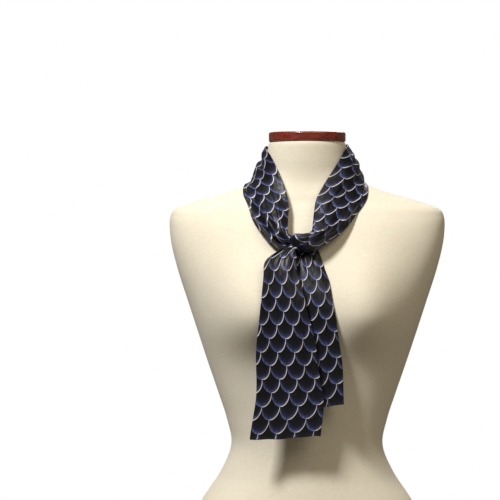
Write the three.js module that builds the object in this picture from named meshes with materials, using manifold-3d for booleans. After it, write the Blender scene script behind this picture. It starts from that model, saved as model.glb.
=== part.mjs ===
// A silk scarf knotted once round the neck of a limbless dress form.
// Millimetres, +Z up, the front faces -Y, origin at the middle of the flat underside.
import * as THREE from 'three';
import Module from 'manifold-3d';
import { mergeVertices } from 'three/addons/utils/BufferGeometryUtils.js';

const wasm = await Module();
wasm.setup();

// Driving dimensions.
const SEAM_GAP = 0.3;          // between pieces that meet
const CLOTH_WALL = 1.6;        // two plies of silk satin and the air between them
const CLOTH_CLEARANCE = 0.6;   // from the linen to the back of the silk
const NECK_TOP = 719;          // where the linen ends and the wooden cap sits
const CAP_HEIGHT = 13;
const CAP_RADIUS = 53;
const CAP_BEVEL = 2.5;
const CAP_SHIFT = -3;          // the neck leans this far forward at its top

// The dress form, one row for each level: half of its width, how far its front and back
// stand from the middle plane, and the exponent that squares off its outline.
const FORM_ROWS = [
  { z: 0, half: 183, front: 94, back: 112, square: 2.3 },
  { z: 45, half: 185, front: 96, back: 117, square: 2.3 },
  { z: 95, half: 182, front: 99, back: 118, square: 2.3 },
  { z: 140, half: 174, front: 100, back: 112, square: 2.25 },
  { z: 181, half: 164, front: 98, back: 102, square: 2.2 },
  { z: 222, half: 146, front: 94, back: 92, square: 2.15 },
  { z: 262, half: 120, front: 89, back: 82, square: 2.1 },
  { z: 300, half: 105, front: 86, back: 76, square: 2.1 },
  { z: 336, half: 111, front: 86, back: 78, square: 2.1 },
  { z: 376, half: 124, front: 88, back: 83, square: 2.15 },
  { z: 417, half: 138, front: 93, back: 90, square: 2.2 },
  { z: 460, half: 152, front: 101, back: 98, square: 2.3 },
  { z: 500, half: 165, front: 104, back: 105, square: 2.3 },
  { z: 540, half: 178, front: 98, back: 110, square: 2.3 },
  { z: 575, half: 187, front: 88, back: 110, square: 2.3 },
  { z: 600, half: 190, front: 79, back: 107, square: 2.3 },
  { z: 616, half: 189, front: 71, back: 103, square: 2.3 },
  { z: 627, half: 182, front: 65, back: 99, square: 2.3 },
  { z: 636, half: 158, front: 60, back: 95, square: 2.2 },
  { z: 645, half: 126, front: 57, back: 90, square: 2.1 },
  { z: 654, half: 98, front: 54, back: 83, square: 2.0 },
  { z: 664, half: 75, front: 52, back: 75, square: 2.0 },
  { z: 677, half: 62, front: 52, back: 65, square: 2.0 },
  { z: 695, half: 57, front: 54, back: 56, square: 2.0 },
  { z: NECK_TOP, half: 53, front: 56, back: 50, square: 2.0 },
];
const FORM_RINGS = 44;
const FORM_SIDES = 48;

// The bust: two soft rises, each fuller above its peak than below it.
const BUST = { side: 76, z: 488, rise: 26, spread: 50, above: 78, below: 50 };

// The scarf's way round the neck, from the knot up the wearer's right, over the nape and down
// to the knot again. Each row gives the upper edge and the lower edge of the folded silk.
const LOOP_ROWS = [
  { ux: -14, uy: -108, uz: 587, lx: -20, ly: -104, lz: 578, fold: 1.0 },
  { ux: -29, uy: -104, uz: 595, lx: -44, ly: -102, lz: 575, fold: 2.2 },
  { ux: -28, uy: -92, uz: 612, lx: -64, ly: -92, lz: 594, fold: 3.0 },
  { ux: -27, uy: -80, uz: 631, lx: -80, ly: -66, lz: 620, fold: 3.0 },
  { ux: -31, uy: -68, uz: 651, lx: -88, ly: -36, lz: 641, fold: 2.8 },
  { ux: -39, uy: -54, uz: 674, lx: -92, ly: -8, lz: 652, fold: 2.6 },
  { ux: -50, uy: -34, uz: 698, lx: -91, ly: 18, lz: 659, fold: 2.6 },
  { ux: -58, uy: 2, uz: 712, lx: -84, ly: 46, lz: 664, fold: 2.6 },
  { ux: -48, uy: 37, uz: 714, lx: -56, ly: 76, lz: 660, fold: 2.8 },
  { ux: -2, uy: 57, uz: 713, lx: -2, ly: 93, lz: 655, fold: 3.0 },
  { ux: 46, uy: 39, uz: 714, lx: 56, ly: 76, lz: 661, fold: 2.8 },
  { ux: 58, uy: 4, uz: 714, lx: 83, ly: 46, lz: 666, fold: 2.4 },
  { ux: 51, uy: -30, uz: 704, lx: 89, ly: 16, lz: 662, fold: 2.0 },
  { ux: 38, uy: -50, uz: 686, lx: 88, ly: -10, lz: 655, fold: 1.8 },
  { ux: 22, uy: -65, uz: 662, lx: 82, ly: -36, lz: 643, fold: 1.8 },
  { ux: 10, uy: -77, uz: 640, lx: 69, ly: -66, lz: 623, fold: 2.2 },
  { ux: 6, uy: -90, uz: 620, lx: 50, ly: -90, lz: 603, fold: 2.4 },
  { ux: 3, uy: -102, uz: 605, lx: 32, ly: -101, lz: 588, fold: 2.0 },
  { ux: -2, uy: -108, uz: 592, lx: 10, ly: -106, lz: 580, fold: 1.0 },
];
const LOOP_FOLDS = 3;
const LOOP_BULGE = 6;          // how far the middle of the loop stands out from its edges
const LOOP_SPLITS = [7.2, 10.9];  // the rows where the sides of the neck give way to the nape
const CLOTH_ACROSS = 10;

// The knot: one rounded lump of gathered silk, wide and low, its left end tucked down.
const KNOT = { x: -4, y: -103, z: 585, halfWidth: 24, halfDepth: 14.5, halfHeight: 12, lean: 0.12 };
const KNOT_SIDES = 28;

// The hanging ends, from the knot down: the left and right edge, the level, and how far in
// front of the middle plane they hang.
const FRONT_TAIL_ROWS = [
  { left: -24, right: -12, z: 580, y: -107, slant: 0 },
  { left: -42, right: -16, z: 572, y: -111, slant: 0 },
  { left: -57, right: -17, z: 559, y: -117, slant: 0 },
  { left: -62, right: -16, z: 538, y: -122, slant: 0 },
  { left: -65, right: -6, z: 503, y: -127, slant: 0 },
  { left: -69, right: 6, z: 460, y: -128, slant: 0 },
  { left: -71, right: 12, z: 416, y: -127, slant: 1 },
  { left: -73, right: 17, z: 368, y: -126, slant: 3 },
  { left: -79, right: 15, z: 324, y: -125, slant: 4.5 },
];
const BACK_TAIL_ROWS = [
  { left: -8, right: 8, z: 580, y: -101, slant: 0 },
  { left: -8, right: 15, z: 570, y: -102, slant: 0 },
  { left: -13, right: 18, z: 555, y: -106, slant: 0 },
  { left: -20, right: 24, z: 533, y: -112, slant: 2 },
  { left: -28, right: 31, z: 502, y: -118, slant: 5 },
  { left: -36, right: 37, z: 464, y: -120, slant: 8 },
  { left: -42, right: 42, z: 415, y: -119, slant: 11 },
  { left: -47, right: 46, z: 361, y: -118, slant: 13 },
];
const TAIL_FOLDS = 1.5;
const TAIL_FOLD_DEPTH = 1.6;
const TAIL_ACROSS = 8;

// Smooth curve through the rows of a table: column values at a row number with a fraction.
function along(rows, key, place) {
  const last = rows.length - 1;
  const at = Math.min(Math.max(place, 0), last);
  const start = Math.min(Math.floor(at), last - 1);
  const t = at - start;
  const value = (n) => rows[Math.min(Math.max(n, 0), last)][key];
  const slopeIn = (value(start + 1) - value(start - 1)) / 2;
  const slopeOut = (value(start + 2) - value(start)) / 2;
  const h1 = 2 * t ** 3 - 3 * t ** 2 + 1;
  const h2 = t ** 3 - 2 * t ** 2 + t;
  const h3 = t ** 3 - t ** 2;
  return h1 * value(start) + h2 * slopeIn + (1 - h1) * value(start + 1) + h3 * slopeOut;
}

// The form's table row number at a height, by bisection on the smooth curve.
function formPlace(z) {
  let low = 0;
  let high = FORM_ROWS.length - 1;
  for (let step = 0; step < 30; step += 1) {
    const middle = (low + high) / 2;
    if (along(FORM_ROWS, 'z', middle) < z) low = middle;
    else high = middle;
  }
  return (low + high) / 2;
}

// How far the bust stands out at a point of the front.
function bustRise(x, z) {
  const tall = z > BUST.z ? BUST.above : BUST.below;
  const sideways = Math.exp(-(((Math.abs(x) - BUST.side) / BUST.spread) ** 2));
  return BUST.rise * sideways * Math.exp(-(((z - BUST.z) / tall) ** 2));
}

// A point of the form's skin: row place and angle, 0 at +X and a quarter turn at the back.
function formPoint(place, angle) {
  const z = along(FORM_ROWS, 'z', place);
  const power = 2 / along(FORM_ROWS, 'square', place);
  const half = along(FORM_ROWS, 'half', place);
  const depth = along(FORM_ROWS, Math.sin(angle) < 0 ? 'front' : 'back', place);
  const x = half * Math.sign(Math.cos(angle)) * Math.abs(Math.cos(angle)) ** power;
  const reach = Math.abs(Math.sin(angle)) ** power;
  const y = depth * Math.sign(Math.sin(angle)) * reach;
  const bust = Math.sin(angle) < 0 ? bustRise(x, z) * Math.min(1, 2 * reach) : 0;
  return new THREE.Vector3(x, y - bust, z);
}

// Over 1 outside the form's skin, under 1 inside it.
function formLevel(point) {
  const place = formPlace(Math.min(point.z, NECK_TOP));
  const square = along(FORM_ROWS, 'square', place);
  const front = point.y < 0;
  const depth = along(FORM_ROWS, front ? 'front' : 'back', place);
  const y = front ? Math.min(point.y + bustRise(point.x, point.z), 0) : point.y;
  const sum = Math.abs(point.x / along(FORM_ROWS, 'half', place)) ** square + Math.abs(y / depth) ** square;
  return sum ** (1 / square);
}

// Moves a point straight away from the form's skin until it is at least `gap` clear of it.
function clearOfForm(point, gap) {
  const step = 0.5;
  for (let pass = 0; pass < 4; pass += 1) {
    const slope = new THREE.Vector3();
    for (const axis of ['x', 'y', 'z']) {
      const ahead = point.clone();
      const behind = point.clone();
      ahead[axis] += step;
      behind[axis] -= step;
      slope[axis] = (formLevel(ahead) - formLevel(behind)) / (2 * step);
    }
    const steepness = slope.length();
    const distance = (formLevel(point) - 1) / steepness;
    if (distance >= gap) break;
    point.addScaledVector(slope, (gap - distance) / steepness);
  }
  return point;
}

function geometryFrom(points, triangles) {
  const geometry = new THREE.BufferGeometry();
  geometry.setAttribute('position', new THREE.Float32BufferAttribute(points.flatMap((p) => p.toArray()), 3));
  geometry.setIndex(triangles);
  return geometry;
}

// Triangles of a grid of points, `columns` wide; `turned` makes them face the other way.
function gridTriangles(rows, columns, first, turned, wraps) {
  const triangles = [];
  for (let row = 0; row < rows - 1; row += 1) {
    for (let column = 0; column < (wraps ? columns : columns - 1); column += 1) {
      const a = first + row * columns + column;
      const b = first + row * columns + ((column + 1) % columns);
      const c = b + columns;
      const d = a + columns;
      triangles.push(...(turned ? [a, c, b, a, d, c] : [a, b, c, a, c, d]));
    }
  }
  return triangles;
}

// A closed wall on both sides of a grid of points, which lies in its middle.
function wallGeometry(grid, thickness) {
  const rows = grid.length;
  const columns = grid[0].length;
  const front = [];
  const back = [];
  for (let row = 0; row < rows; row += 1) {
    for (let column = 0; column < columns; column += 1) {
      const up = grid[Math.min(row + 1, rows - 1)][column].clone().sub(grid[Math.max(row - 1, 0)][column]);
      const over = grid[row][Math.min(column + 1, columns - 1)].clone();
      over.sub(grid[row][Math.max(column - 1, 0)]);
      const normal = up.cross(over).normalize();
      front.push(grid[row][column].clone().addScaledVector(normal, thickness / 2));
      back.push(grid[row][column].clone().addScaledVector(normal, -thickness / 2));
    }
  }
  const size = rows * columns;
  const triangles = [...gridTriangles(rows, columns, 0, true), ...gridTriangles(rows, columns, size, false)];
  const border = [];
  for (let column = 0; column < columns - 1; column += 1) border.push(column);
  for (let row = 0; row < rows - 1; row += 1) border.push(row * columns + columns - 1);
  for (let column = columns - 1; column > 0; column -= 1) border.push((rows - 1) * columns + column);
  for (let row = rows - 1; row > 0; row -= 1) border.push(row * columns);
  border.forEach((a, n) => {
    const b = border[(n + 1) % border.length];
    triangles.push(a, b, b + size, a, b + size, a + size);
  });
  return geometryFrom([...front, ...back], triangles);
}

// The linen-covered body: rings of the form's outline, closed at the underside and the neck.
function formGeometry() {
  const points = [];
  for (let ring = 0; ring <= FORM_RINGS; ring += 1) {
    const place = (ring / FORM_RINGS) * (FORM_ROWS.length - 1);
    for (let side = 0; side < FORM_SIDES; side += 1) {
      points.push(formPoint(place, (side / FORM_SIDES) * 2 * Math.PI));
    }
  }
  const triangles = gridTriangles(FORM_RINGS + 1, FORM_SIDES, 0, false, true);
  const bottom = points.push(new THREE.Vector3(0, 0, 0)) - 1;
  const top = points.push(new THREE.Vector3(0, CAP_SHIFT, NECK_TOP)) - 1;
  const lastRing = FORM_RINGS * FORM_SIDES;
  for (let side = 0; side < FORM_SIDES; side += 1) {
    const next = (side + 1) % FORM_SIDES;
    triangles.push(bottom, next, side, top, lastRing + side, lastRing + next);
  }
  return geometryFrom(points, triangles);
}

// The wooden neck cap: a turned disc with both rims bevelled.
function capGeometry() {
  const low = NECK_TOP + SEAM_GAP;
  const high = NECK_TOP + CAP_HEIGHT;
  const profile = [
    [0, low], [CAP_RADIUS - CAP_BEVEL / 2, low], [CAP_RADIUS, low + CAP_BEVEL / 2],
    [CAP_RADIUS, high - CAP_BEVEL], [CAP_RADIUS - CAP_BEVEL, high], [0, high],
  ];
  const lathe = new THREE.LatheGeometry(profile.map(([r, z]) => new THREE.Vector2(r, z)), FORM_SIDES);
  return lathe.rotateX(Math.PI / 2).translate(0, CAP_SHIFT, 0);
}

// One stretch of the loop round the neck, between two row places of its table.
function loopGrid(from, to, steps) {
  const grid = [];
  for (let step = 0; step <= steps; step += 1) {
    const place = from + ((to - from) * step) / steps;
    const at = (prefix) => new THREE.Vector3(
      along(LOOP_ROWS, `${prefix}x`, place),
      along(LOOP_ROWS, `${prefix}y`, place),
      along(LOOP_ROWS, `${prefix}z`, place),
    );
    const upper = at('u');
    const lower = at('l');
    const outward = new THREE.Vector3((upper.x + lower.x) / 2, (upper.y + lower.y) / 2, 40).normalize();
    const fold = along(LOOP_ROWS, 'fold', place);
    const row = [];
    for (let column = 0; column <= CLOTH_ACROSS; column += 1) {
      const v = column / CLOTH_ACROSS;
      const stand = LOOP_BULGE * Math.sin(Math.PI * v) * Math.min(1, upper.distanceTo(lower) / 40);
      const ripple = -fold * Math.cos(2 * Math.PI * LOOP_FOLDS * v) * Math.sin(Math.PI * v);
      const point = upper.clone().lerp(lower, v).addScaledVector(outward, stand + ripple);
      row.push(clearOfForm(point, CLOTH_CLEARANCE + CLOTH_WALL / 2));
    }
    grid.push(row);
  }
  return grid;
}

// A hanging end: flat across, with shallow lengthwise folds that open out towards the hem.
function tailGrid(rows, steps) {
  const grid = [];
  for (let step = 0; step <= steps; step += 1) {
    const place = ((rows.length - 1) * step) / steps;
    const value = (key) => along(rows, key, place);
    const row = [];
    for (let column = 0; column <= TAIL_ACROSS; column += 1) {
      const v = column / TAIL_ACROSS;
      const x = value('right') + (value('left') - value('right')) * v;
      const ripple = TAIL_FOLD_DEPTH * Math.cos(2 * Math.PI * TAIL_FOLDS * v);
      const tilt = value('slant') * (0.5 - v);
      const point = new THREE.Vector3(x, value('y') + ripple, value('z') + tilt);
      row.push(clearOfForm(point, CLOTH_CLEARANCE + CLOTH_WALL / 2));
    }
    grid.push(row);
  }
  return grid;
}

// The knot's lump, grown by `extra` all round: an ellipsoid with blunt ends.
function knotGeometry(extra) {
  const shape = new THREE.SphereGeometry(1, KNOT_SIDES, KNOT_SIDES / 2);
  const position = shape.attributes.position;
  for (let n = 0; n < position.count; n += 1) {
    const blunt = (value) => Math.sign(value) * Math.abs(value) ** 0.8;
    const x = blunt(position.getX(n)) * (KNOT.halfWidth + extra);
    const y = blunt(position.getZ(n)) * (KNOT.halfDepth + extra);
    const z = blunt(position.getY(n)) * (KNOT.halfHeight + extra);
    position.setXYZ(n, KNOT.x + x, KNOT.y - y, KNOT.z + z + KNOT.lean * x);
  }
  return shape;
}

function solidFrom(geometry) {
  const plain = geometry.clone();
  for (const name of Object.keys(plain.attributes)) {
    if (name !== 'position') plain.deleteAttribute(name);
  }
  const merged = mergeVertices(plain, 1e-4);
  return new wasm.Manifold(new wasm.Mesh({
    numProp: 3,
    vertProperties: new Float32Array(merged.attributes.position.array),
    triVerts: new Uint32Array(merged.index.array),
  }));
}

function geometryOf(solid) {
  const mesh = solid.getMesh();
  const geometry = new THREE.BufferGeometry();
  geometry.setAttribute('position', new THREE.BufferAttribute(new Float32Array(mesh.vertProperties), 3));
  geometry.setIndex(new THREE.BufferAttribute(new Uint32Array(mesh.triVerts), 1));
  return geometry;
}

const linen = new THREE.MeshStandardMaterial({ color: '#e2d7ba', roughness: 0.9, metalness: 0 });
const mahogany = new THREE.MeshStandardMaterial({ color: '#6b3226', roughness: 0.3, metalness: 0 });
const silk = new THREE.MeshStandardMaterial({ color: '#2b2e44', roughness: 0.4, metalness: 0 });

const model = new THREE.Group();

function add(name, geometry, material) {
  const mesh = new THREE.Mesh(geometry, material);
  mesh.name = name;
  model.add(mesh);
}

add('form_body', formGeometry(), linen);
add('form_neck_cap', capGeometry(), mahogany);

// The silk is trimmed where it enters the knot.
const knotSpace = solidFrom(knotGeometry(SEAM_GAP));
const trimmed = (grid) => geometryOf(solidFrom(wallGeometry(grid, CLOTH_WALL)).subtract(knotSpace));
const seam = 0.006;            // half of the gap between stretches, as part of a row
const lastRow = LOOP_ROWS.length - 1;
add('scarf_neck_left', trimmed(loopGrid(0, LOOP_SPLITS[0] - seam, 22)), silk);
add('scarf_neck_back', wallGeometry(loopGrid(LOOP_SPLITS[0] + seam, LOOP_SPLITS[1] - seam, 14), CLOTH_WALL), silk);
add('scarf_neck_right', trimmed(loopGrid(LOOP_SPLITS[1] + seam, lastRow, 22)), silk);
add('scarf_knot', knotGeometry(0), silk);
add('scarf_tail_front', trimmed(tailGrid(FRONT_TAIL_ROWS, 20)), silk);
add('scarf_tail_back', trimmed(tailGrid(BACK_TAIL_ROWS, 16)), silk);

// The hanging ends reach further forward than the form, so the whole is moved back until the
// origin lies at the middle of the space that it fills.
const box = new THREE.Box3().setFromObject(model);
model.position.y = -(box.min.y + box.max.y) / 2;

export default model;
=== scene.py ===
import math

import bpy
import numpy as np
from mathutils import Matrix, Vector


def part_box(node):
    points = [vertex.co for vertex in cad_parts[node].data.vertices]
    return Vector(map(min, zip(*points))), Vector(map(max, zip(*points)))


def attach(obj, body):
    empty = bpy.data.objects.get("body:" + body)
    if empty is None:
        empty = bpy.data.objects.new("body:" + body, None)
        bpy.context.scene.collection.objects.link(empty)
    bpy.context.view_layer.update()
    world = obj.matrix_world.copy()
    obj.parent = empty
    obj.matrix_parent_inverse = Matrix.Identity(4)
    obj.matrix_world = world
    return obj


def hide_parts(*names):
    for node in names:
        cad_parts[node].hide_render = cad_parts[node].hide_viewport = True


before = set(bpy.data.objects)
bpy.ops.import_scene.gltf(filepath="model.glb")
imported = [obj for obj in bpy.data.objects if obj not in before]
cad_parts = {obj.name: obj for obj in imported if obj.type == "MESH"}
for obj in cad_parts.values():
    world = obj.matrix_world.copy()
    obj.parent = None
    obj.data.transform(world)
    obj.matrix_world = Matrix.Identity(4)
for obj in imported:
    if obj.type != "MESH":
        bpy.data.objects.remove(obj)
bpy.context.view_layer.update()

# A silk scarf knotted once at the throat of a limbless dress form.
# Tables are in millimetres from the form's own middle plane; meshes are in metres.
MM = 0.001
CAP_LEAN = -3.0               # the neck's top leans this far forward
CAP_LOW, CAP_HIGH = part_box("form_neck_cap")
MIDDLE_Y = (CAP_LOW[1] + CAP_HIGH[1]) / 2 / MM - CAP_LEAN
NECK_TOP = 719.0
CAP_HEIGHT = 13.0
CAP_RADIUS = 53.0
CAP_BEVEL = 2.2

SILK_THICK = 1.7
SILK_CLEAR = 0.5              # between the linen and the back of the silk
PRINT_CELL = 25.0             # from one cream line to the next, across the strip
PRINT_ROW = 18.0              # from one row of scales to the next, along it
EDGE_SCALE = 14.0             # millimetres for one unit of a scale's radius, on average
EDGE_WIDTH = 0.65             # half of the cream edge with its soft border
FLOOR_RADIUS = 1.3            # metres, and where the floor starts to fade out
FLOOR_FADE = 0.55

# The form: level, half width, reach of the front and the back, and the squareness of the ring.
FORM_COLUMNS = ("z", "half", "front", "back", "square")
FORM_ROWS = np.array([
    (0, 183, 94, 112, 2.3),
    (45, 185, 96, 117, 2.3),
    (95, 182, 99, 118, 2.3),
    (140, 174, 100, 112, 2.25),
    (181, 164, 98, 102, 2.2),
    (222, 146, 94, 92, 2.15),
    (262, 120, 89, 82, 2.1),
    (300, 105, 86, 76, 2.1),
    (336, 111, 86, 78, 2.1),
    (376, 124, 88, 83, 2.15),
    (417, 138, 93, 90, 2.2),
    (460, 152, 101, 98, 2.3),
    (500, 165, 104, 105, 2.3),
    (540, 178, 98, 110, 2.3),
    (575, 187, 88, 110, 2.3),
    (600, 190, 79, 107, 2.3),
    (616, 189, 71, 103, 2.3),
    (627, 182, 65, 99, 2.3),
    (636, 158, 60, 95, 2.2),
    (645, 126, 57, 90, 2.1),
    (654, 98, 54, 83, 2.0),
    (664, 75, 52, 75, 2.0),
    (677, 62, 52, 65, 2.0),
    (695, 57, 54, 56, 2.0),
    (719, 53, 56, 50, 2.0),
], dtype=float)
BUST_SIDE, BUST_LEVEL, BUST_RISE, BUST_SPREAD, BUST_ABOVE, BUST_BELOW = 76, 488, 26, 50, 78, 50

# The loop round the neck: upper edge, lower edge, depth of the lengthwise folds, and how far its
# middle stands out from its edges. The last rows are the band that crosses in front of the knot.
LOOP_COLUMNS = ("ux", "uy", "uz", "lx", "ly", "lz", "fold", "bulge")
LOOP_ROWS = np.array([
    (-16, -106, 588, -22, -103, 577, 0.5, 2),
    (-28, -104, 594, -42, -102, 574, 0.8, 8),
    (-28, -92, 612, -63, -92, 594, 1.0, 9),
    (-27, -80, 631, -79, -66, 619, 1.1, 8),
    (-31, -68, 651, -85, -37, 640, 1.2, 7),
    (-39, -54, 674, -83, -8, 652, 1.2, 7),
    (-50, -34, 698, -78, 20, 660, 1.4, 5),
    (-58, 2, 712, -72, 48, 663, 1.6, 2),
    (-48, 37, 714, -54, 76, 660, 2.2, 0),
    (-2, 57, 713, -2, 93, 655, 2.6, 0),
    (46, 39, 714, 54, 76, 661, 2.2, 0),
    (56, 4, 716, 72, 48, 666, 1.6, 2),
    (50, -30, 706, 78, 20, 665, 1.2, 7),
    (38, -50, 686, 80, -10, 657, 1.0, 9),
    (22, -65, 662, 80, -37, 644, 0.9, 8),
    (10, -77, 640, 69, -66, 623, 0.9, 8),
    (6, -90, 620, 50, -90, 602, 0.9, 9),
    (4, -103, 605, 33, -103, 587, 0.8, 11),
    (2, -108, 597, 15, -107, 575, 0.6, 17),
    (-8, -110, 594, -4, -107, 569, 0.5, 20),
    (-18, -108, 594, -16, -105, 572, 0.5, 18),
    (-26, -101, 592, -27, -99, 577, 0.4, 11),
    (-29, -92, 590, -31, -90, 580, 0.3, 3),
], dtype=float)
LOOP_FOLDS = 3
LOOP_SPLITS = (7.2, 10.9, 17.3)
SEAM = 0.006

# Creases, listed one by one: each runs from one place to another, and has a width across and a height.
# On the loop the first number of a place counts rows of its table, on an end it goes from 0 to 1;
# the second goes from 0 to 1 across the cloth, from the upper edge or the right one.
CREASE_COLUMNS = ("from_u", "from_v", "to_u", "to_v", "width", "height")
LOOP_CREASES = [
    (-2.5, 0.16, 4.2, 0.24, 0.050, 2.4),
    (-2.5, 0.34, 3.4, 0.44, 0.045, -2.8),
    (-2.0, 0.52, 5.6, 0.60, 0.060, 2.2),
    (-2.0, 0.68, 4.8, 0.76, 0.040, -3.4),
    (-1.5, 0.82, 5.4, 0.86, 0.045, 2.6),
    (3.6, 0.55, 7.6, 0.30, 0.070, -3.0),
    (4.6, 0.75, 8.4, 0.55, 0.060, 2.6),
    (6.2, 0.25, 10.4, 0.40, 0.080, -2.2),
    (8.0, 0.70, 12.2, 0.62, 0.080, 2.4),
    (9.8, 0.36, 13.6, 0.22, 0.060, 2.2),
    (11.6, 0.62, 16.4, 0.46, 0.090, -3.2),
    (12.6, 0.34, 16.0, 0.20, 0.080, 2.8),
    (13.2, 0.88, 18.4, 0.66, 0.070, 3.0),
    (14.0, 0.74, 19.0, 0.80, 0.050, -2.6),
    (15.0, 0.50, 20.0, 0.36, 0.055, 2.2),
    (15.8, 0.18, 21.5, 0.24, 0.060, -2.0),
    (17.4, 0.56, 22.5, 0.52, 0.070, -2.6),
    (17.8, 0.74, 22.5, 0.76, 0.070, 1.8),
]
FRONT_TAIL_CREASES = [
    (-0.20, 0.20, 0.26, 0.12, 0.060, 2.4),
    (-0.20, 0.40, 0.34, 0.34, 0.060, -2.6),
    (-0.20, 0.58, 0.42, 0.62, 0.055, 2.4),
    (-0.20, 0.76, 0.24, 0.86, 0.060, -2.2),
    (0.16, 0.28, 0.92, 0.42, 0.130, 1.8),
    (0.30, 0.78, 1.05, 0.66, 0.110, -2.0),
    (0.48, 0.10, 0.86, 0.20, 0.080, -1.4),
    (0.60, 0.52, 0.98, 0.30, 0.070, 1.6),
    (0.84, 0.14, 1.16, 0.10, 0.050, 1.8),
    (0.86, 0.44, 1.14, 0.50, 0.060, -1.5),
    (0.88, 0.84, 1.12, 0.88, 0.060, 1.2),
]
BACK_TAIL_CREASES = [
    (-0.30, 0.86, 0.44, 0.96, 0.260, -11.0),
    (-0.20, 0.30, 0.22, 0.06, 0.060, 3.2),
    (-0.16, 0.48, 0.36, 0.26, 0.060, -3.0),
    (-0.10, 0.62, 0.46, 0.46, 0.060, 2.2),
    (0.20, 0.14, 0.90, 0.30, 0.110, 1.8),
    (0.44, 0.40, 1.10, 0.16, 0.090, -1.8),
    (0.82, 0.24, 1.14, 0.34, 0.060, 1.4),
]
EDGE_WAVE = 0.015             # the loop's outer edge waves by this share of the width

# The hanging ends: left edge, right edge, level, place in front of the middle, slant of the rows.
TAIL_COLUMNS = ("left", "right", "z", "y", "slant")
FRONT_TAIL_ROWS = np.array([
    (-24, -12, 580, -107, 0),
    (-42, -16, 572, -111, 0),
    (-57, -17, 559, -117, 0),
    (-62, -16, 538, -122, 0),
    (-65, -6, 503, -127, 0),
    (-69, 6, 460, -128, 0),
    (-71, 12, 416, -127, 1),
    (-73, 17, 368, -126, 3),
    (-79, 15, 324, -125, 4.5),
], dtype=float)
BACK_TAIL_ROWS = np.array([
    (-18, 8, 582, -96, 0),
    (-22, 14, 570, -98, 0),
    (-25, 18, 555, -103, 0),
    (-27, 24, 533, -110, 2),
    (-28, 31, 502, -118, 5),
    (-36, 37, 464, -120, 8),
    (-42, 42, 415, -119, 11),
    (-47, 46, 361, -118, 13),
], dtype=float)
KNOT = {"x": -5.0, "y": -102.0, "z": 584.0, "wide": 17.0, "deep": 9.0, "high": 8.0, "lean": 0.12}


# ---------------------------------------------------------------- shapes

def along(rows, place):
    """Every column of a table at row places with fractions: cubic curves through the rows, each
    leaving a row at the mean slope of its two neighbours."""
    last = len(rows) - 1
    at = np.clip(np.asarray(place, dtype=float), 0, last)
    start = np.minimum(np.floor(at).astype(int), last - 1)
    t = (at - start)[..., None]

    def row(n):
        return rows[np.clip(n, 0, last)]

    slope_in = (row(start + 1) - row(start - 1)) / 2
    slope_out = (row(start + 2) - row(start)) / 2
    h1 = 2 * t ** 3 - 3 * t ** 2 + 1
    h2 = t ** 3 - 2 * t ** 2 + t
    h3 = t ** 3 - t ** 2
    return h1 * row(start) + h2 * slope_in + (1 - h1) * row(start + 1) + h3 * slope_out


LEVEL_PLACES = np.linspace(0, len(FORM_ROWS) - 1, 2000)
LEVEL_TABLE = along(FORM_ROWS, LEVEL_PLACES)


def bust_rise(x, z):
    """How far the bust stands out: two bell curves, longer above the peak than below it."""
    tall = np.where(z > BUST_LEVEL, BUST_ABOVE, BUST_BELOW)
    sideways = np.exp(-((np.abs(x) - BUST_SIDE) / BUST_SPREAD) ** 2)
    return BUST_RISE * sideways * np.exp(-((z - BUST_LEVEL) / tall) ** 2)


def form_level(points):
    """Over 1 outside the form's skin, under 1 inside: |x/half|^n + |y/reach|^n, to the power 1/n."""
    x, y, z = points[..., 0], points[..., 1], np.minimum(points[..., 2], NECK_TOP)
    half, front, back, square = (np.interp(z, LEVEL_TABLE[:, 0], LEVEL_TABLE[:, n]) for n in (1, 2, 3, 4))
    forward = y < 0
    reach = np.where(forward, front, back)
    inner_y = np.where(forward, np.minimum(y + bust_rise(x, z), 0), y)
    return (np.abs(x / half) ** square + np.abs(inner_y / reach) ** square) ** (1 / square)


def form_slope(points):
    """The rate at which form_level grows along each axis, from points half a millimetre apart."""
    slope = np.zeros_like(points)
    for axis in range(3):
        step = np.zeros(3)
        step[axis] = 0.5
        slope[..., axis] = form_level(points + step) - form_level(points - step)
    return slope


def clear_of_form(points, gap):
    """Points nearer to the form's skin than the gap move straight away from it."""
    for _ in range(4):
        slope = form_slope(points)
        steep = np.linalg.norm(slope, axis=-1)
        distance = (form_level(points) - 1) / steep
        short = np.maximum(gap - distance, 0)
        points = points + slope * (short / steep)[..., None]
    return points


def unit(vectors):
    return vectors / np.maximum(np.linalg.norm(vectors, axis=-1, keepdims=True), 1e-9)


def grid_normals(grid):
    """Normals of a grid: the cross product of its two directions, from neighbours on each side."""
    return unit(np.cross(np.gradient(grid, axis=0), np.gradient(grid, axis=1)))


def grid_faces(rows, columns, wrap):
    """Quads between neighbouring points of a grid, its columns joined round where it wraps."""
    number = np.arange(rows * columns).reshape(rows, columns)
    if wrap:
        number = np.concatenate([number, number[:, :1]], axis=1)
    corners = (number[:-1, :-1], number[:-1, 1:], number[1:, 1:], number[1:, :-1])
    return np.stack([c.ravel() for c in corners], axis=1)


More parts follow.
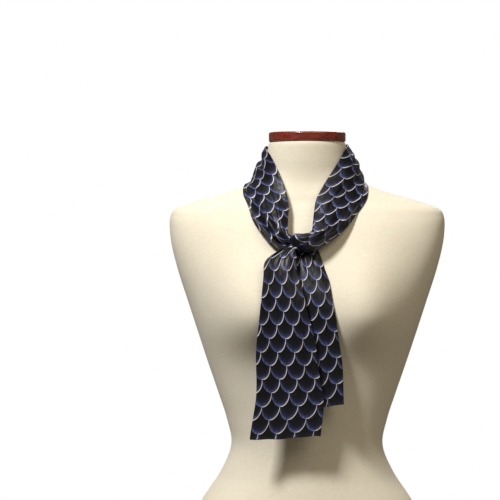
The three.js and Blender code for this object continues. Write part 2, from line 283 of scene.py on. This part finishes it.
def make_piece(name, points, faces, material, uv=None, attributes=None, extra_faces=()):
    """A mesh object from points in millimetres about the form's middle plane."""
    placed = (points + np.array([0.0, MIDDLE_Y, 0.0])) * MM
    mesh = bpy.data.meshes.new(name)
    mesh.from_pydata(placed.tolist(), [], faces.tolist() + [list(f) for f in extra_faces])
    mesh.polygons.foreach_set("use_smooth", [True] * len(mesh.polygons))
    if uv is not None:
        loops = np.zeros(len(mesh.loops), dtype=np.int32)
        mesh.loops.foreach_get("vertex_index", loops)
        layer = mesh.uv_layers.new(name="cloth")
        layer.data.foreach_set("uv", uv[loops].astype(np.float32).ravel())
    for key, values in (attributes or {}).items():
        store = mesh.attributes.new(key, "FLOAT", "POINT")
        store.data.foreach_set("value", values.astype(np.float32).ravel())
    mesh.materials.append(material)
    mesh.validate()
    mesh.update()
    piece = bpy.data.objects.new(name, mesh)
    bpy.context.collection.objects.link(piece)
    return piece


def form_body(material):
    """The linen-covered torso: rings x = half cos^(2/n), y = reach sin^(2/n), less the bust's rise."""
    rings, sides = 260, 224
    place = np.linspace(0, len(FORM_ROWS) - 1, rings)
    values = along(FORM_ROWS, place)
    angle = np.linspace(0, 2 * math.pi, sides, endpoint=False)[None, :]
    z, half, front, back, square = (values[:, n][:, None] for n in range(5))
    power = 2 / square
    reach = np.abs(np.sin(angle)) ** power
    x = half * np.sign(np.cos(angle)) * np.abs(np.cos(angle)) ** power
    y = np.where(np.sin(angle) < 0, -front, back) * reach
    y = y - np.where(np.sin(angle) < 0, bust_rise(x, z) * np.minimum(1, 2 * reach), 0)
    grid = np.stack([x, y, np.broadcast_to(z, x.shape)], axis=-1)
    # the skin turns in over the last few millimetres at the underside and under the cap
    level = grid[..., 2:3]
    tuck = 1 - 0.02 * np.exp(-level / 2.5) - 0.03 * np.exp(-(NECK_TOP - level) / 2.5)
    grid = np.concatenate([grid[..., :2] * tuck, level], axis=-1)
    caps = [list(range(sides))[::-1], [(rings - 1) * sides + n for n in range(sides)]]
    faces = grid_faces(rings, sides, True)
    return make_piece("form_linen_body", grid.reshape(-1, 3), faces, material, extra_faces=caps)


def neck_cap(material):
    """The turned cap: a profile of radius and height, its rims rounded, carried round the axis."""
    sides = 160
    low, high = NECK_TOP + 0.3, NECK_TOP + CAP_HEIGHT
    turn = np.linspace(0, math.pi / 2, 7)
    top = [(CAP_RADIUS - CAP_BEVEL + CAP_BEVEL * math.cos(a), high - CAP_BEVEL + CAP_BEVEL * math.sin(a))
           for a in turn]
    under = [(CAP_RADIUS - 1.2 + 1.2 * math.sin(a), low + 1.2 - 1.2 * math.cos(a)) for a in turn]
    profile = np.array([(CAP_RADIUS - 6, low)] + under + top + [(CAP_RADIUS - 6, high)])
    angle = np.linspace(0, 2 * math.pi, sides, endpoint=False)
    x = profile[:, :1] * np.cos(angle)
    y = profile[:, :1] * np.sin(angle) + CAP_LEAN
    z = np.broadcast_to(profile[:, 1:], x.shape)
    grid = np.stack([x, y, z], axis=-1)
    rows = len(profile)
    caps = [list(range(sides))[::-1], [(rows - 1) * sides + n for n in range(sides)]]
    return make_piece("form_turned_cap", grid.reshape(-1, 3), grid_faces(rows, sides, True), material,
                      extra_faces=caps)


def double_ply(name, grid, across, lengthwise, material, hems=(False, False), thick=SILK_THICK):
    """A folded strip about a middle surface: both plies stand off it by half the thickness, which
    falls to nothing along a quarter-round at the folded edges and at a hem. The cloth's own
    coordinates, in millimetres along and across the strip, are its UV map."""
    rows, columns = grid.shape[:2]
    normals = grid_normals(grid)
    v = np.linspace(-1, 1, columns)[None, :]
    swell = np.sqrt(np.maximum(1 - np.abs(v) ** 14, 0))
    u = np.linspace(0, 1, rows)[:, None]
    if hems[0]:
        swell = swell * np.sqrt(np.clip(u * rows / 5, 0.05, 1))
    if hems[1]:
        swell = swell * np.sqrt(np.clip((1 - u) * rows / 5, 0.05, 1))
    offset = normals * (swell * thick / 2)[..., None]
    front = grid + offset
    back = (grid - offset)[:, ::-1]
    ring = np.concatenate([front, back[:, 1:-1]], axis=1)
    uv_front = np.stack([np.broadcast_to(across, (rows, columns)),
                         np.broadcast_to(lengthwise, (rows, columns))], axis=-1)
    uv_ring = np.concatenate([uv_front, uv_front[:, ::-1][:, 1:-1]], axis=1)
    sides = ring.shape[1]
    faces = grid_faces(rows, sides, True)
    caps = [list(range(sides))[::-1], [(rows - 1) * sides + n for n in range(sides)]]
    return make_piece(name, ring.reshape(-1, 3), faces, material, uv=uv_ring.reshape(-1, 2),
                      extra_faces=caps)


def arc_along(grid):
    """Length run along the middle column of a grid, from its first row."""
    middle = grid[:, grid.shape[1] // 2]
    return np.concatenate([[0], np.cumsum(np.linalg.norm(np.diff(middle, axis=0), axis=1))])


def arc_across(grid):
    """Length run across each row of a grid from its middle. Where the cloth narrows it is gathered,
    so more of it lies in each millimetre: the run grows by the root of the narrowing."""
    steps = np.linalg.norm(np.diff(grid, axis=1), axis=2)
    run = np.concatenate([np.zeros((len(grid), 1)), np.cumsum(steps, axis=1)], axis=1)
    width = run[:, -1:]
    return (run - width / 2) * np.sqrt(width.max() / width)


def crease_height(table, u, v):
    """The sum of the creases: each is a bell curve about its line, and swells along it as a sine."""
    total = np.zeros(np.broadcast(u, v).shape)
    for from_u, from_v, to_u, to_v, width, height in table:
        run = np.clip((u - from_u) / (to_u - from_u), 0, 1)
        off = (v - from_v - (to_v - from_v) * run) / width
        total = total + height * np.sin(math.pi * run) * np.exp(-off ** 2)
    return total


def loop_grid(start, end, rows):
    """A stretch of the loop: straight between its edges, bulged, with folds and creases along it."""
    columns = 91
    place = np.linspace(start, end, rows)[:, None]
    values = along(LOOP_ROWS, place[:, 0])
    upper, lower, fold = values[:, None, 0:3], values[:, None, 3:6], values[:, None, 6]
    v = np.linspace(0, 1, columns)[None, :]
    outward = (upper + lower) / 2
    outward[..., 2] = 40
    outward = unit(outward)
    width = np.linalg.norm(upper - lower, axis=-1)
    stand = values[:, None, 7] * np.sin(math.pi * v) * np.minimum(1, width / 40)
    ripple = -fold * np.cos(2 * math.pi * LOOP_FOLDS * v) * np.sin(math.pi * v)
    ripple = ripple + crease_height(LOOP_CREASES, place, v) * np.minimum(1, width / 30)
    wave = 1 + EDGE_WAVE * (np.sin(3.1 * place + 1) + 0.6 * np.sin(5.3 * place))
    points = upper + (lower - upper) * (v * wave)[..., None] + outward * (stand + ripple)[..., None]
    return clear_of_form(points, SILK_CLEAR + SILK_THICK / 2)


def tail_grid(table, creases, rows):
    """A hanging end: flat between its edges, which wave a little, with creases and a slow swing."""
    columns = 91
    u = np.linspace(0, 1, rows)[:, None]
    values = along(table, u[:, 0] * (len(table) - 1))
    left, right, z, y, slant = (values[:, n][:, None] for n in range(5))
    v = np.linspace(0, 1, columns)[None, :]
    left = left + 0.8 * np.sin(17 * u) - 0.5 * np.sin(29 * u)
    right = right + 0.8 * np.sin(14 * u + 2) + 0.5 * np.sin(31 * u)
    x = right + (left - right) * v
    swing = 1.8 * np.sin(7 * u + 3 * v) + 1.3 * np.cos(2 * math.pi * 1.5 * v)
    pucker = u ** 6 * (0.9 * np.sin(7 * v + 0.5) + 0.4 * np.sin(19 * v))
    depth = y + swing - crease_height(creases, u, v)
    points = np.stack([x, depth, z + slant * (0.5 - v) + pucker], axis=-1)
    return clear_of_form(points, SILK_CLEAR + SILK_THICK / 2)


def knot_lump(material):
    """The knot: a blunt ellipsoid, grooved along the band that wraps it."""
    rows, columns = 90, 120
    rise = np.linspace(-math.pi / 2 + 0.02, math.pi / 2 - 0.02, rows)[:, None]
    turn = np.linspace(0, 2 * math.pi, columns, endpoint=False)[None, :]

    def blunt(value):
        return np.sign(value) * np.abs(value) ** 0.8

    groove = 1 - 0.05 * np.abs(np.sin(3.5 * rise + 0.8 * np.sin(turn)))
    x = blunt(np.cos(rise) * np.cos(turn)) * KNOT["wide"] * groove
    y = blunt(np.cos(rise) * np.sin(turn)) * KNOT["deep"] * groove
    z = blunt(np.sin(rise) + 0 * turn) * KNOT["high"] + KNOT["lean"] * x
    grid = np.stack([KNOT["x"] + x, KNOT["y"] + y, KNOT["z"] + z], axis=-1)
    uv = np.stack([z + 30, x + 12], axis=-1)
    caps = [list(range(columns))[::-1], [(rows - 1) * columns + n for n in range(columns)]]
    return make_piece("scarf_silk_knot_core", grid.reshape(-1, 3), grid_faces(rows, columns, True), material,
                      uv=uv.reshape(-1, 2), extra_faces=caps)


# ---------------------------------------------------------------- materials

def linear(code):
    """An sRGB hex colour as linear red, green, blue and alpha."""
    channels = [int(code[n:n + 2], 16) / 255 for n in (1, 3, 5)]
    return tuple(c / 12.92 if c <= 0.04045 else ((c + 0.055) / 1.055) ** 2.4 for c in channels) + (1.0,)


def node(tree, kind, settings=None, **links):
    """Adds a node, sets its properties and its sockets by name or number, and links the rest."""
    made = tree.nodes.new(kind)
    for key, value in (settings or {}).items():
        setattr(made, key, value)
    for key, value in links.items():
        socket = made.inputs[int(key[1:])] if key[0] == "i" and key[1:].isdigit() else made.inputs[key.replace("_", " ")]
        if isinstance(value, bpy.types.NodeSocket):
            tree.links.new(value, socket)
        else:
            socket.default_value = value
    return made


def maths(tree, operation, first, second=None, third=None):
    links = {"i0": first}
    if second is not None:
        links["i1"] = second
    if third is not None:
        links["i2"] = third
    return node(tree, "ShaderNodeMath", {"operation": operation}, **links).outputs[0]


def new_material(name):
    material = bpy.data.materials.new(name)
    material.use_nodes = True
    tree = material.node_tree
    return material, tree, tree.nodes["Principled BSDF"]


def ramp(tree, fac, stops, mode="LINEAR"):
    made = node(tree, "ShaderNodeValToRGB", None, Fac=fac)
    made.color_ramp.interpolation = mode
    elements = made.color_ramp.elements
    while len(elements) < len(stops):
        elements.new(0.5)
    for element, (position, code) in zip(elements, stops):
        element.position = position
        element.color = linear(code)
    return made.outputs["Color"]


def printed_silk():
    """Silk satin, double ply, printed with the traditional fish-scale repeat in half drop: dark navy
    scales that lighten to periwinkle at their rounded rims, with one flank edged in fine cream."""
    material, tree, shader = new_material("printed_silk_satin")
    cloth = node(tree, "ShaderNodeUVMap", {"uv_map": "cloth"})
    parts = node(tree, "ShaderNodeSeparateXYZ", None, Vector=cloth.outputs["UV"])
    across = maths(tree, "DIVIDE", parts.outputs["X"], PRINT_CELL)
    down = maths(tree, "DIVIDE", parts.outputs["Y"], PRINT_ROW)
    row = maths(tree, "FLOOR", down)
    fall = maths(tree, "FRACT", down)
    # place within a scale, from -1 at its left cusp to 1 at its right cusp; each row steps half over
    shifted = maths(tree, "FRACT", maths(tree, "ADD", across, maths(tree, "MULTIPLY", row, 0.5)))
    side = maths(tree, "SUBTRACT", maths(tree, "MULTIPLY", shifted, 2.0), 1.0)
    out = maths(tree, "ABSOLUTE", side)
    # the rims are quarter ellipses: this row's, and the next row's, which shows where this one ends
    rim = maths(tree, "SQRT", maths(tree, "SUBTRACT", 1.0, maths(tree, "MULTIPLY", out, out)))
    rest = maths(tree, "SUBTRACT", 1.0, out)
    next_rim = maths(tree, "SQRT", maths(tree, "SUBTRACT", 1.0, maths(tree, "MULTIPLY", rest, rest)))
    past = maths(tree, "GREATER_THAN", fall, rim)
    own = maths(tree, "ADD", maths(tree, "MULTIPLY", rim, maths(tree, "SUBTRACT", 1.0, past)),
                maths(tree, "MULTIPLY", maths(tree, "ADD", next_rim, 1.0), past))
    # dyed by brush: fine streaks along the cloth make the shading inside a scale uneven
    brush = node(tree, "ShaderNodeTexNoise", None, Vector=node(
        tree, "ShaderNodeMapping", None, Vector=cloth.outputs["UV"], Scale=(0.5, 0.09, 1.0)).outputs[0],
        Scale=1.0, Detail=4.0, Roughness=0.6)
    uneven = maths(tree, "MULTIPLY", maths(tree, "SUBTRACT", brush.outputs[0], 0.5), 0.5)
    to_rim = maths(tree, "ADD", maths(tree, "SUBTRACT", own, fall), uneven)
    ground = ramp(tree, to_rim, [(0.0, "#646c9c"), (0.1, "#3c426a"), (0.3, "#1d1f33"), (0.55, "#0f1019"),
                                 (0.95, "#08080d")])
    # one flank of each scale is edged in cream, and the edges meet in wavy diagonals
    reach = maths(tree, "SQRT", maths(tree, "ADD", maths(tree, "MULTIPLY", out, out),
                                      maths(tree, "MULTIPLY", fall, fall)))
    off = maths(tree, "MULTIPLY", maths(tree, "ABSOLUTE", maths(tree, "SUBTRACT", reach, 1.0)), EDGE_SCALE)
    edge = node(tree, "ShaderNodeMapRange", {"interpolation_type": "SMOOTHSTEP"}, Value=off,
                From_Min=EDGE_WIDTH * 0.5, From_Max=EDGE_WIDTH, To_Min=1.0, To_Max=0.0).outputs[0]
    flank = node(tree, "ShaderNodeMapRange", {"interpolation_type": "SMOOTHSTEP"}, Value=side,
                 From_Min=-0.06, From_Max=0.06, To_Min=0.0, To_Max=1.0).outputs[0]
    line = maths(tree, "MULTIPLY", edge, flank)
    colour = node(tree, "ShaderNodeMix", {"data_type": "RGBA"}, i0=line, i6=ground, i7=linear("#ddd5c8"))
    tree.links.new(colour.outputs[2], shader.inputs["Base Color"])
    # threads: satin floats lie along the strip, a third of a millimetre apart, drawn as slight bump
    grain = node(tree, "ShaderNodeTexNoise", None, Vector=node(
        tree, "ShaderNodeMapping", None, Vector=cloth.outputs["UV"], Scale=(2.2, 0.35, 1.0)).outputs[0],
        Scale=1.0, Detail=3.0)
    # soft rumples about three centimetres long, too shallow to model
    rumple = node(tree, "ShaderNodeTexNoise", None, Vector=node(
        tree, "ShaderNodeMapping", None, Vector=cloth.outputs["UV"], Scale=(0.07, 0.035, 1.0)).outputs[0],
        Scale=1.0, Detail=2.0)
    soft = node(tree, "ShaderNodeBump", None, Height=rumple.outputs[0], Strength=0.35, Distance=0.006)
    bump = node(tree, "ShaderNodeBump", None, Height=grain.outputs[0], Strength=0.12, Distance=0.0004,
                Normal=soft.outputs[0])
    tree.links.new(bump.outputs[0], shader.inputs["Normal"])
    shader.inputs["Roughness"].default_value = 0.42
    shader.inputs["Specular IOR Level"].default_value = 0.3
    shader.inputs["Sheen Weight"].default_value = 0.06
    shader.inputs["Sheen Roughness"].default_value = 0.35
    shader.inputs["Sheen Tint"].default_value = linear("#9aa3d0")
    return material


def linen_cover():
    """Unbleached linen, plain woven and stretched over the form: matt, with thicker slub threads
    that show as fine lines across, and a slight mottle from handling."""
    material, tree, shader = new_material("unbleached_linen")
    place = node(tree, "ShaderNodeTexCoord").outputs["Object"]
    slub = node(tree, "ShaderNodeTexNoise", None, Vector=node(
        tree, "ShaderNodeMapping", None, Vector=place, Scale=(130.0, 130.0, 1100.0)).outputs[0],
        Scale=1.0, Detail=4.0, Roughness=0.6)
    warp = node(tree, "ShaderNodeTexNoise", None, Vector=node(
        tree, "ShaderNodeMapping", None, Vector=place, Scale=(1100.0, 1100.0, 130.0)).outputs[0],
        Scale=1.0, Detail=3.0, Roughness=0.6)
    mottle = node(tree, "ShaderNodeTexNoise", None, Vector=place, Scale=9.0, Detail=3.0)
    weave = maths(tree, "ADD", maths(tree, "MULTIPLY", slub.outputs[0], 0.54),
                  maths(tree, "MULTIPLY", warp.outputs[0], 0.46))
    tone = maths(tree, "ADD", maths(tree, "MULTIPLY", weave, 0.8), maths(tree, "MULTIPLY", mottle.outputs[0], 0.2))
    colour = ramp(tree, tone, [(0.3, "#dacfb7"), (0.5, "#e6ddc8"), (0.7, "#eee6d4")])
    tree.links.new(colour, shader.inputs["Base Color"])
    bump = node(tree, "ShaderNodeBump", None, Height=weave, Strength=0.25, Distance=0.0005)
    tree.links.new(bump.outputs[0], shader.inputs["Normal"])
    shader.inputs["Roughness"].default_value = 0.92
    shader.inputs["Specular IOR Level"].default_value = 0.2
    shader.inputs["Sheen Weight"].default_value = 0.15
    shader.inputs["Sheen Roughness"].default_value = 0.6
    return material


def mahogany_varnish():
    """Mahogany, turned and varnished: red-brown with darker pores in streaks, under clear gloss."""
    material, tree, shader = new_material("varnished_mahogany")
    place = node(tree, "ShaderNodeTexCoord").outputs["Object"]
    streak = node(tree, "ShaderNodeTexNoise", None, Vector=node(
        tree, "ShaderNodeMapping", None, Vector=place, Scale=(18.0, 260.0, 420.0)).outputs[0],
        Scale=1.0, Detail=6.0, Roughness=0.65)
    colour = ramp(tree, streak.outputs[0], [(0.3, "#3a100a"), (0.5, "#74271a"), (0.7, "#963a28")])
    tree.links.new(colour, shader.inputs["Base Color"])
    bump = node(tree, "ShaderNodeBump", None, Height=streak.outputs[0], Strength=0.08, Distance=0.0003)
    tree.links.new(bump.outputs[0], shader.inputs["Normal"])
    shader.inputs["Roughness"].default_value = 0.35
    shader.inputs["Coat Weight"].default_value = 0.7
    shader.inputs["Coat Roughness"].default_value = 0.12
    return material


def studio_paper():
    """Matt pale paper that fades out towards the floor's rim, so the floor has no hard edge."""
    material, tree, shader = new_material("pale_paper_floor")
    shader.inputs["Base Color"].default_value = linear("#cdcbc8")
    shader.inputs["Roughness"].default_value = 0.95
    shader.inputs["Specular IOR Level"].default_value = 0.1
    place = node(tree, "ShaderNodeTexCoord").outputs["Object"]
    far = node(tree, "ShaderNodeVectorMath", {"operation": "LENGTH"}, i0=place).outputs["Value"]
    fade = node(tree, "ShaderNodeMapRange", {"interpolation_type": "SMOOTHSTEP"}, Value=far,
                From_Min=FLOOR_FADE, From_Max=FLOOR_RADIUS, To_Min=0.0, To_Max=1.0).outputs[0]
    clear = node(tree, "ShaderNodeBsdfTransparent")
    mixed = node(tree, "ShaderNodeMixShader", None, i0=fade, i1=shader.outputs[0], i2=clear.outputs[0])
    tree.links.new(mixed.outputs[0], tree.nodes["Material Output"].inputs["Surface"])
    return material


# ---------------------------------------------------------------- the object

LINEN = linen_cover()
MAHOGANY = mahogany_varnish()
SILK = printed_silk()


def hold(piece, node_name):
    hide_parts(node_name)
    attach(piece, "root")


def strip(name, node_name, grid, run_start, hems, mirror=1):
    across = mirror * arc_across(grid)
    lengthwise = (run_start + arc_along(grid))[:, None]
    piece = double_ply(name, grid, across, lengthwise, SILK, hems)
    hold(piece, node_name)
    return piece


hold(form_body(LINEN), "form_body")
hold(neck_cap(MAHOGANY), "form_neck_cap")

last_row = len(LOOP_ROWS) - 1
strip("scarf_silk_neck_left", "scarf_neck_left", loop_grid(0, LOOP_SPLITS[0] - SEAM, 200)[::-1], 0.0,
      (False, False), mirror=-1)
strip("scarf_silk_neck_back", "scarf_neck_back",
      loop_grid(LOOP_SPLITS[0] + SEAM, LOOP_SPLITS[1] - SEAM, 130)[::-1],
      20.0, (False, False), mirror=-1)
right_run = loop_grid(LOOP_SPLITS[1] + SEAM, LOOP_SPLITS[2] - SEAM / 2, 190)
strip("scarf_silk_neck_right", "scarf_neck_right", right_run, 0.0,
      (False, False))
band_start = arc_along(right_run)[-1]
strip("scarf_silk_knot_band", "scarf_knot", loop_grid(LOOP_SPLITS[2] + SEAM / 2, last_row, 70), band_start,
      (False, False))
strip("scarf_silk_tail_back", "scarf_tail_back", tail_grid(BACK_TAIL_ROWS, BACK_TAIL_CREASES, 190), 0.0, (False, True),
      mirror=-1)
strip("scarf_silk_tail_front", "scarf_tail_front", tail_grid(FRONT_TAIL_ROWS, FRONT_TAIL_CREASES, 220), 7.0, (False, True),
      mirror=-1)
knot = knot_lump(SILK)
hold(knot, "scarf_knot")


# ---------------------------------------------------------------- the studio

def floor():
    """A round pale floor: rings of points about the centre, joined outwards. It throws no light back
    up, so the shade under the bust stays deep."""
    radii = np.array([0.001, 0.3, 0.7, 1.0, FLOOR_RADIUS])[:, None]
    angle = np.linspace(0, 2 * math.pi, 72, endpoint=False)
    x, y = radii * np.cos(angle), radii * np.sin(angle)
    points = np.stack([x, y, np.zeros_like(x)], axis=-1).reshape(-1, 3)
    mesh = bpy.data.meshes.new("studio_floor")
    mesh.from_pydata(points.tolist(), [], grid_faces(len(radii), len(angle), True)[:, ::-1].tolist())
    mesh.materials.append(studio_paper())
    made = bpy.data.objects.new("studio_floor", mesh)
    bpy.context.collection.objects.link(made)
    made.visible_diffuse = False


def white_studio(ambient, colour):
    """A white surround: the lens sees plain white, and the object is lit by its soft, warm bounce."""
    world = bpy.data.worlds.new("studio")
    world.use_nodes = True
    tree = world.node_tree
    bounce = tree.nodes["Background"]
    bounce.inputs["Color"].default_value = colour + (1.0,)
    bounce.inputs["Strength"].default_value = ambient
    plain = node(tree, "ShaderNodeBackground", None, Color=(1.0, 1.0, 1.0, 1.0), Strength=1.0)
    seen = node(tree, "ShaderNodeLightPath").outputs["Is Camera Ray"]
    mixed = node(tree, "ShaderNodeMixShader", None, i0=seen, i1=bounce.outputs[0], i2=plain.outputs[0])
    tree.links.new(mixed.outputs[0], tree.nodes["World Output"].inputs["Surface"])
    bpy.context.scene.world = world


def area_light(name, place, target, size, power, colour):
    lamp = bpy.data.lights.new(name, "AREA")
    lamp.shape = "RECTANGLE"
    lamp.size, lamp.size_y = size
    lamp.energy = power
    lamp.color = colour
    held = bpy.data.objects.new(name, lamp)
    held.location = place
    direction = Vector(np.array(target) - np.array(place))
    held.rotation_euler = direction.to_track_quat("-Z", "Y").to_euler()
    bpy.context.collection.objects.link(held)


def camera():
    """Level with the base of the neck, a little to the left, with a long lens."""
    data = bpy.data.cameras.new("studio_camera")
    data.lens = 130.0
    data.sensor_width = 36.0
    made = bpy.data.objects.new("studio_camera", data)
    made.location = (-0.079, -2.5 + MIDDLE_Y * MM, 0.632)
    made.rotation_euler = (math.radians(90 - 1.43), 0, 0)
    bpy.context.collection.objects.link(made)
    bpy.context.scene.camera = made


floor()
white_studio(0.12, (1.0, 0.88, 0.7))
area_light("key", (-1.2, -1.75, 2.95), (0, 0, 0.5), (0.6, 0.6), 118, (1.0, 1.0, 1.0))
area_light("fill", (1.3, -2.1, 2.4), (0, 0, 0.5), (1.6, 1.6), 24, (1.0, 0.9, 0.72))
area_light("back", (0.4, 2.4, 2.3), (0, 0, 0.5), (1.2, 1.2), 34, (1.0, 0.98, 0.95))
camera()
bpy.context.scene.view_settings.view_transform = "Standard"
